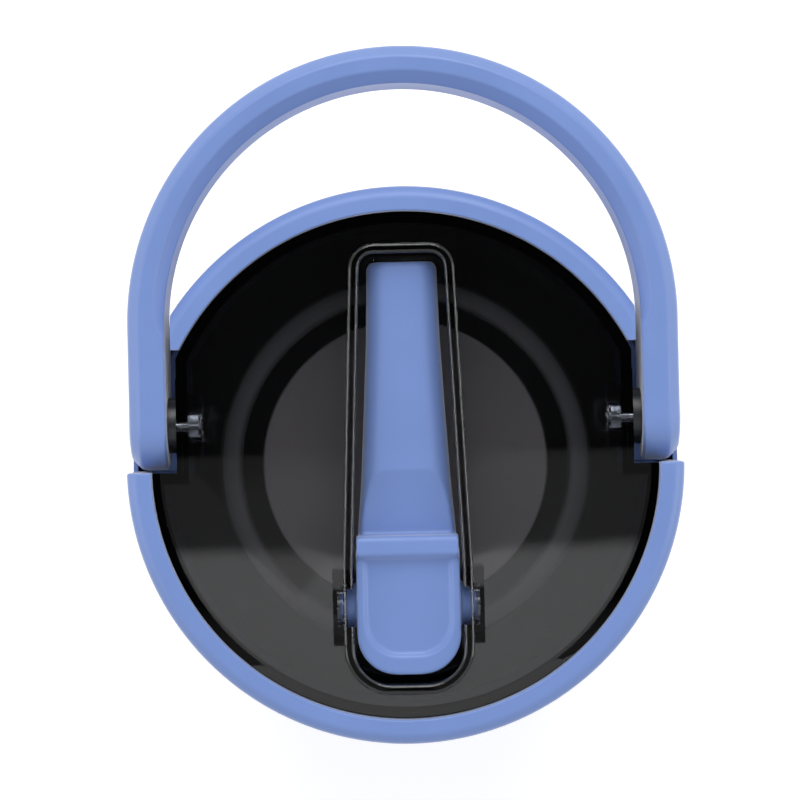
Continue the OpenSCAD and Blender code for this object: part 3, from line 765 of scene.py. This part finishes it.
# The seats for the spout's trunnions come last, so the lip is already round where they cut it.
for side in (-1, 1):
    seat = rod(4.65, (side * 5, hinge.y, hinge.z), (side * 15.4, hinge.y, hinge.z))
    low_x, high_x = sorted((side * (channel_half - 1), side * (channel_half + 1.4)))
    slot = block((low_x, hinge.y - 4.1, hinge.z), (high_x, hinge.y + 4.1, 300))
    for cutter in (seat, slot):
        cover = combined(cover, cutter, "DIFFERENCE")
bmesh.ops.recalc_face_normals(cover, faces=list(cover.faces))
print("open or doubled edges:", sum(len(e.link_faces) != 2 for e in cover.edges))
cover_piece = piece(cover, "clear_cover", "lid", "smoke_plastic", smoke, "lid_shell", sharp=35)

# %% [markdown]
# ### Rings of the inner plate, with painted light
# The plate under the cover is black plastic with rings by radius: a matt centre, a deep polished
# groove, a narrow matt ring and a polished rest. The roughness follows the rings. The colour is
# painted light: the centre and the narrow ring are painted grey, a painted pool of light on the
# centre and a painted highlight on the ring, while the groove and the rest keep the plastic's own
# near-black. The distance from the jug's axis picks the ring.

# %% Plate finish, rings with painted light
plate_finish, tree, shader = new_finish("polypropylene_black_painted_light")
place = add_node(tree, "ShaderNodeTexCoord").outputs["Object"]
parts = add_node(tree, "ShaderNodeSeparateXYZ", Vector=place)
flat_place = add_node(tree, "ShaderNodeCombineXYZ", X=parts.outputs["X"], Y=parts.outputs["Y"], Z=0.0)
reach = add_node(tree, "ShaderNodeVectorMath", {"operation": "LENGTH"}, i0=flat_place.outputs["Vector"])
share = add_node(tree, "ShaderNodeMath", {"operation": "DIVIDE"}, i0=reach.outputs["Value"], i1=0.06)
# This ramp sets the base colour, with painted light: grey on the centre and on the narrow ring.
painted_light_ramp = add_node(tree, "ShaderNodeValToRGB", Fac=share.outputs["Value"])
polish = add_node(tree, "ShaderNodeValToRGB", Fac=share.outputs["Value"])
matt = (0.55, 0.55, 0.55, 1)
shiny = (0.12, 0.12, 0.12, 1)
# Each stop: radius in mm, colour, roughness. The grey colours are painted light on a black plate; the near-black ones
# are the plastic's own colour.
painted_tone_and_polish_stops = [
    (0, "#8F8887", matt), (31.2, "#878080", matt), (31.9, "#101011", shiny), (36.2, "#101011", shiny),
    (37.6, "#5E5C5E", matt), (39.4, "#565456", matt), (41.4, "#141415", shiny), (60, "#101011", shiny)]
for ramp, column in ((painted_light_ramp, 1), (polish, 2)):
    stops = ramp.color_ramp.elements
    stops[1].position = 1.0
    for number, zone in enumerate(painted_tone_and_polish_stops):
        stop = stops[0] if number == 0 else stops[-1] if zone[0] == 60 else stops.new(zone[0] / 60)
        stop.color = srgb(zone[1]) if column == 1 else zone[2]
tree.links.new(polish.outputs["Color"], shader.inputs["Roughness"])
grain = add_node(tree, "ShaderNodeTexNoise", Vector=place, Scale=per_mm(0.9), Detail=2.0)
bump = add_node(tree, "ShaderNodeBump", Strength=0.1, Distance=0.01 * MM, Height=grain.outputs["Fac"])
tree.links.new(painted_light_ramp.outputs["Color"], shader.inputs["Base Color"])
tree.links.new(bump.outputs["Normal"], shader.inputs["Normal"])
shader.inputs["IOR"].default_value = 1.49
print(plate_finish.name, "with", len(painted_tone_and_polish_stops), "stops")

# %% [markdown]
# ## Inner plate and plug
# Under the cover lies the black plate, and from it the plug goes down into the neck. Its
# thread is one ridge that winds up as it goes round, so its section is spun with a rise on
# each step. The plug's ridge and the neck's ridge have the same rise and lie half a turn's
# rise apart, which is how screwed threads mesh.

# %% Plate, plug and thread


def thread(root, crest, low, turns, pitch=3.6, wide=1.1, flat=0.35, steps=96):
    """A ridge that winds round the upright axis, standing out from root to crest."""
    shape = bmesh.new()
    ring = [shape.verts.new((r, 0, low + z)) for r, z in (
        (root, -wide), (crest, -flat), (crest, flat), (root, wide))]
    shape.faces.new(ring)
    count = int(steps * turns)
    bmesh.ops.spin(shape, geom=list(shape.faces) + list(shape.edges) + list(shape.verts), cent=(0, 0, 0),
                   axis=(0, 0, 1), dvec=(0, 0, pitch / steps), angle=math.tau * turns, steps=count,
                   use_merge=False, use_duplicate=False)
    bmesh.ops.holes_fill(shape, edges=[e for e in shape.edges if e.is_boundary], sides=0)
    bmesh.ops.recalc_face_normals(shape, faces=list(shape.faces))
    return shape


plug_low = core_low.z
plug_r = 25.9
plate = plan_block(0, plate_z, shell_z)
groove = turned([(31.5, shell_z - 0.9, 0), (36.5, shell_z - 0.9, 0), (36.5, shell_z + 2, 0), (31.5, shell_z + 2, 0)])
plate = combined(plate, groove, "DIFFERENCE")
plug = turned([(plug_r - 2.2, plug_low, 0.4), (plug_r, plug_low, 0.6), (plug_r, plate_z + 0.4, 0),
               (plug_r - 2.2, plate_z + 0.4, 0)])
plate = combined(plate, plug, "UNION")
straw_y = (corners("straw")[0].y + corners("straw")[1].y) / 2
for hole in (rod(3.8, (0, straw_y, 100), (0, straw_y, 300)), rod(1.6, (0, 14, 100), (0, 14, 300))):
    plate = combined(plate, hole, "DIFFERENCE")
tidy_flats(plate)
print("plate edges rounded:", round_edges(plate, 0.2, steps=2, sharper_than=50))
core = joined(plate, thread(plug_r - 0.3, plug_r + 0.65, plug_low + 1.2, 1.5))
piece(core, "inner_plate_and_plug", "lid", "dark_plastic", plate_finish, "lid_core", sharp=35)

# %% [markdown]
# ## Steel body
# The shell and the neck of the body are spun steel: a foot turned in, a straight wall, a
# rounded shoulder that rises by ten degrees, and a neck. The weld where they meet is
# ground and coated over, so it can't be seen. Both are turned finely enough that no facet
# shows in a highlight.

# %% Shell and neck
seam_z = body_high.z
shoulder_z = seam_z + 8
rise = math.tan(math.radians(10))
foot_z = body_low.z
neck_r = corners("lid_gasket")[1].x - 0.6
neck_top = corners("liner_neck")[1].z - 0.8


def slope_z(radius, lowered):
    """Height of the shoulder's slope at a radius, for a wall inset by so much."""
    return shoulder_z - 0.12 + (body_r - 6.61 - radius) * rise - lowered / math.cos(math.radians(10))


shell = turned([
    (50, foot_z, 0), (body_r, foot_z, 4), (body_r, seam_z, 0), (body_r - 0.8, seam_z, 0),
    (body_r - 0.8, foot_z + 0.8, 3.2), (50, foot_z + 0.8, 0)], steps=256)
piece(shell, "steel_shell", "jug_body", "powder_coat", powder, "outer_shell", weighted=False)
neck_r = 31.0
neck = turned([
    (body_r, seam_z, 0), (body_r, slope_z(body_r, 0), 6.71), (neck_r, slope_z(neck_r, 0), 3.36), (neck_r, neck_top, 0),
    (neck_r - 0.8, neck_top, 0), (neck_r - 0.8, slope_z(neck_r - 0.8, 0.8), 4.03),
    (body_r - 0.8, slope_z(body_r - 0.8, 0.8), 6.04), (body_r - 0.8, seam_z, 0)], steps=256)
piece(neck, "steel_shoulder_and_neck", "jug_body", "powder_coat", powder, "shell_neck", weighted=False)

# %% [markdown]
# The liner's neck is bare steel. Its rim is rolled over to meet the outer neck, and its
# rolled thread stands inwards, to hold the plug.

# %% Liner neck
liner_r = corners("inner_liner")[1].x
bore_r = 27.6
lip_z = neck_top + 0.8
drop = 3.6 + 0.0
liner_neck = turned([
    (liner_r, seam_z, 0), (liner_r, 215.79 - 212.1 + seam_z, 3.69), (28.3, seam_z + 8.38, 3.36), (28.3, neck_top, 0),
    (neck_r, neck_top, 0), (neck_r, lip_z, 0.4), (bore_r, lip_z, 0.39), (bore_r, seam_z + 7.79, 3.94),
    (liner_r - 0.7, seam_z + 3.1, 3.1), (liner_r - 0.7, seam_z, 0)], steps=256)
ridge = thread(bore_r + 0.3, bore_r - 0.65, plug_low + 3.0, 1.5)
piece(joined(liner_neck, ridge), "liner_neck_and_thread", "jug_body", "bare_steel", steel, "liner_neck")

# %% [markdown]
# ## Foot pad
# The silicone disc under the jug keeps it from sliding. Rings moulded into its underside
# let water out from under it and give its edges a grip.

# %% Foot pad
pad_r = pad_high.x
profile = [(0, 0, 0)]
for radius in range(10, 46, 5):
    profile += [(radius, 0, 0.2), (radius + 0.2, 0.7, 0.2), (radius + 1.6, 0.7, 0.2), (radius + 1.8, 0, 0.2)]
profile += [(pad_r, 0, 0.8), (pad_r, pad_high.z, 0), (0, pad_high.z, 0)]
pad_disc = turned(profile)
piece(pad_disc, "ringed_foot_pad", "jug_body", "silicone", silicone, "foot_pad", sharp=50, weighted=False)

# %% [markdown]
# ## Pivot screws and caps
# A shoulder screw holds each leg: a head with a hexagon socket, a smooth shoulder that the
# handle turns on, and a thread that shows through the clear wall. A polished cap closes
# the seat over the head. They are made upright and then laid on their side.

# %% Screws and caps
for side, label in ((-1, "left"), (1, "right")):
    on_side = Matrix.Translation((0, pivot.y, pivot.z)) @ Matrix.Rotation(side * math.pi / 2, 4, "Y")
    head_low = strap_out - 2.9 + 0.35
    core_shape = turned([
        (0, notch_x - 5.1, 0), (1.4, notch_x - 5.1, 0.3), (1.4, notch_x, 0), (2.5, notch_x, 0.2), (2.5, head_low, 0),
        (4.6, head_low, 0.2), (4.6, head_low + 1.2, 0.4), (0, head_low + 1.2, 0)], steps=64)
    socket = rod(1.8, (0, 0, head_low + 0.4), (0, 0, head_low + 5), steps=6)
    core_shape = combined(core_shape, socket, "DIFFERENCE")
    ridge = thread(1.3, 1.7, notch_x - 4.9, 6, pitch=0.75, wide=0.36, flat=0.06, steps=24)
    screw = joined(core_shape, ridge)
    bmesh.ops.transform(screw, matrix=on_side, verts=list(screw.verts))
    piece(screw, "shoulder_screw_" + label, "lid", "polished_steel", polished, "pivot_screw_" + label)
    cap_low = strap_out - 1
    dome = turned([(0, cap_low, 0), (5.3, cap_low, 0), (5.3, cap_low + 1, 0.25), (5.12, cap_low + 1.16, 0), (4.59, cap_low + 1.3, 0),
                   (3.75, cap_low + 1.42, 0), (2.65, cap_low + 1.52, 0), (1.37, cap_low + 1.58, 0), (0, cap_low + 1.6, 0)],
                  steps=96)
    bmesh.ops.transform(dome, matrix=on_side, verts=list(dome.verts))
    piece(dome, "steel_cap_" + label, "handle", "polished_steel", polished, "pivot_cap_" + label, sharp=60)

# %% [markdown]
# ## Pieces that keep the model's own shape
# The small hidden pieces already have their true shape, so they only take a finish.

# %% Finishes on the model's nodes
finish_of = {
    "base_plate": steel, "getter_cup": steel, "pivot_nut_left": steel, "pivot_nut_right": steel,
    "inner_liner": steel, "liner_bottom": steel,
    "lid_gasket": silicone, "vent_valve": silicone, "port_seal": silicone,
    "straw_port": port_plastic, "straw": straw_plastic,
    "pivot_bush_left": acetal, "pivot_bush_right": acetal,
}
for node, finish in finish_of.items():
    mesh = frame["nodes"][node].data
    mesh.materials.clear()
    mesh.materials.append(finish)
print(len(finish_of), "nodes finished")

# %% [markdown]
# ## Floor, light and world
# A pale floor takes the shadow. Seen by the camera it is lifted to white, and so is the
# world. Steel and glass see that white too. One part of the sky is left dark: straight
# overhead, where the camera hangs. The flat lid mirrors that dark patch, and its front half,
# which slopes away by 2.5 degrees, mirrors the white beyond the patch's edge.

# %% Floor and world
floor_shape = bmesh.new()
bmesh.ops.create_grid(floor_shape, x_segments=1, y_segments=1, size=6)
floor_mesh = bpy.data.meshes.new("floor")
floor_shape.to_mesh(floor_mesh)
floor_shape.free()
floor = bpy.data.objects.new("floor", floor_mesh)
bpy.context.scene.collection.objects.link(floor)
pale, tree, shader = new_finish("pale_floor")
shader.inputs["Base Color"].default_value = srgb("#E9E9E9")
shader.inputs["Roughness"].default_value = 0.9
path = add_node(tree, "ShaderNodeLightPath")
seen = add_node(tree, "ShaderNodeMath", {"operation": "MAXIMUM"}, i0=path.outputs["Is Camera Ray"],
                i1=path.outputs["Is Transmission Ray"])
seen = add_node(tree, "ShaderNodeMath", {"operation": "MAXIMUM"}, i0=seen.outputs["Value"],
                i1=path.outputs["Is Glossy Ray"])
lift = add_node(tree, "ShaderNodeMath", {"operation": "MULTIPLY"}, i0=seen.outputs["Value"], i1=0.35)
tree.links.new(lift.outputs["Value"], shader.inputs["Emission Strength"])
shader.inputs["Emission Color"].default_value = (1, 1, 1, 1)
floor_mesh.materials.append(pale)

world = bpy.data.worlds.new("studio")
bpy.context.scene.world = world
world.use_nodes = True
tree = world.node_tree
path = add_node(tree, "ShaderNodeLightPath")
aim = add_node(tree, "ShaderNodeTexCoord").outputs["Generated"]
parts = add_node(tree, "ShaderNodeSeparateXYZ", Vector=aim)
forward = add_node(tree, "ShaderNodeMath", {"operation": "DIVIDE"}, i0=parts.outputs["Y"], i1=parts.outputs["Z"])
sideways = add_node(tree, "ShaderNodeMath", {"operation": "DIVIDE"}, i0=parts.outputs["X"], i1=parts.outputs["Z"])
along = add_node(tree, "ShaderNodeMapRange", Value=forward.outputs["Value"], i1=-0.2, i2=0.4)
bands = add_node(tree, "ShaderNodeValToRGB", Fac=along.outputs["Result"])
stops = bands.color_ramp.elements
stops[0].position = (-0.1395 + 0.2) / 0.6
stops[0].color = (0.88, 0.88, 0.88, 1)
stops[1].position = (0.30 + 0.2) / 0.6
stops[1].color = (1, 1, 1, 1)
for direction, strength in ((-0.1345, 0.16), (-0.08, 0.16), (-0.065, 0.015), (0.2, 0.015)):
    stop = stops.new((direction + 0.2) / 0.6)
    stop.color = (strength, strength, strength, 1)
width = add_node(tree, "ShaderNodeMath", {"operation": "ABSOLUTE"}, i0=sideways.outputs["Value"])
side_edge = add_node(tree, "ShaderNodeMapRange", Value=width.outputs["Value"], i1=0.34, i2=0.26)
overhead = add_node(tree, "ShaderNodeMath", {"operation": "GREATER_THAN"}, i0=parts.outputs["Z"], i1=0.0)
patch = add_node(tree, "ShaderNodeMath", {"operation": "MULTIPLY"}, i0=overhead.outputs["Value"],
                 i1=side_edge.outputs["Result"])
mirrored = add_node(tree, "ShaderNodeMix", {"data_type": "FLOAT"}, i0=patch.outputs["Value"], i2=1.0,
                    i3=bands.outputs["Color"])
after_gloss = add_node(tree, "ShaderNodeMath", {"operation": "GREATER_THAN"}, i0=path.outputs["Glossy Depth"], i1=0.5)
after_matt = add_node(tree, "ShaderNodeMath", {"operation": "GREATER_THAN"}, i0=path.outputs["Diffuse Depth"], i1=0.5)
mirror = add_node(tree, "ShaderNodeMix", {"data_type": "FLOAT"}, i0=after_gloss.outputs["Value"], i2=1.0,
                  i3=mirrored.outputs["Result"])
lit = add_node(tree, "ShaderNodeMix", {"data_type": "FLOAT"}, i0=after_matt.outputs["Value"],
               i2=mirror.outputs["Result"], i3=0.62)
strength = add_node(tree, "ShaderNodeMix", {"data_type": "FLOAT"}, i0=path.outputs["Is Camera Ray"],
                    i2=lit.outputs["Result"], i3=1.0)
background = tree.nodes["Background"]
background.inputs["Color"].default_value = (1, 1, 1, 1)
tree.links.new(strength.outputs["Result"], background.inputs["Strength"])


# %% [markdown]
# Three soft lamps do the modelling: a large one behind the jug, high up, which brightens the
# rear of every rounded edge, and a weaker one on each side.

# %% Lamps


def soft_lamp(name, place, target, size, watts):
    data = bpy.data.lights.new(name, "AREA")
    data.shape = "SQUARE"
    data.size = size
    data.energy = watts
    lamp = bpy.data.objects.new(name, data)
    lamp.location = place
    lamp.rotation_euler = (Vector(target) - Vector(place)).to_track_quat("-Z", "Y").to_euler()
    bpy.context.scene.collection.objects.link(lamp)
    return lamp


jug_middle = (0, 0, 0.2)
soft_lamp("rear_lamp", (0.0, 1.3, 1.25), jug_middle, 1.0, 14)
soft_lamp("left_lamp", (-1.3, -0.1, 0.9), jug_middle, 0.8, 5)
soft_lamp("right_lamp", (1.3, -0.1, 0.9), jug_middle, 0.8, 5)
bpy.context.scene.view_settings.view_transform = "Standard"
print("lamps placed")
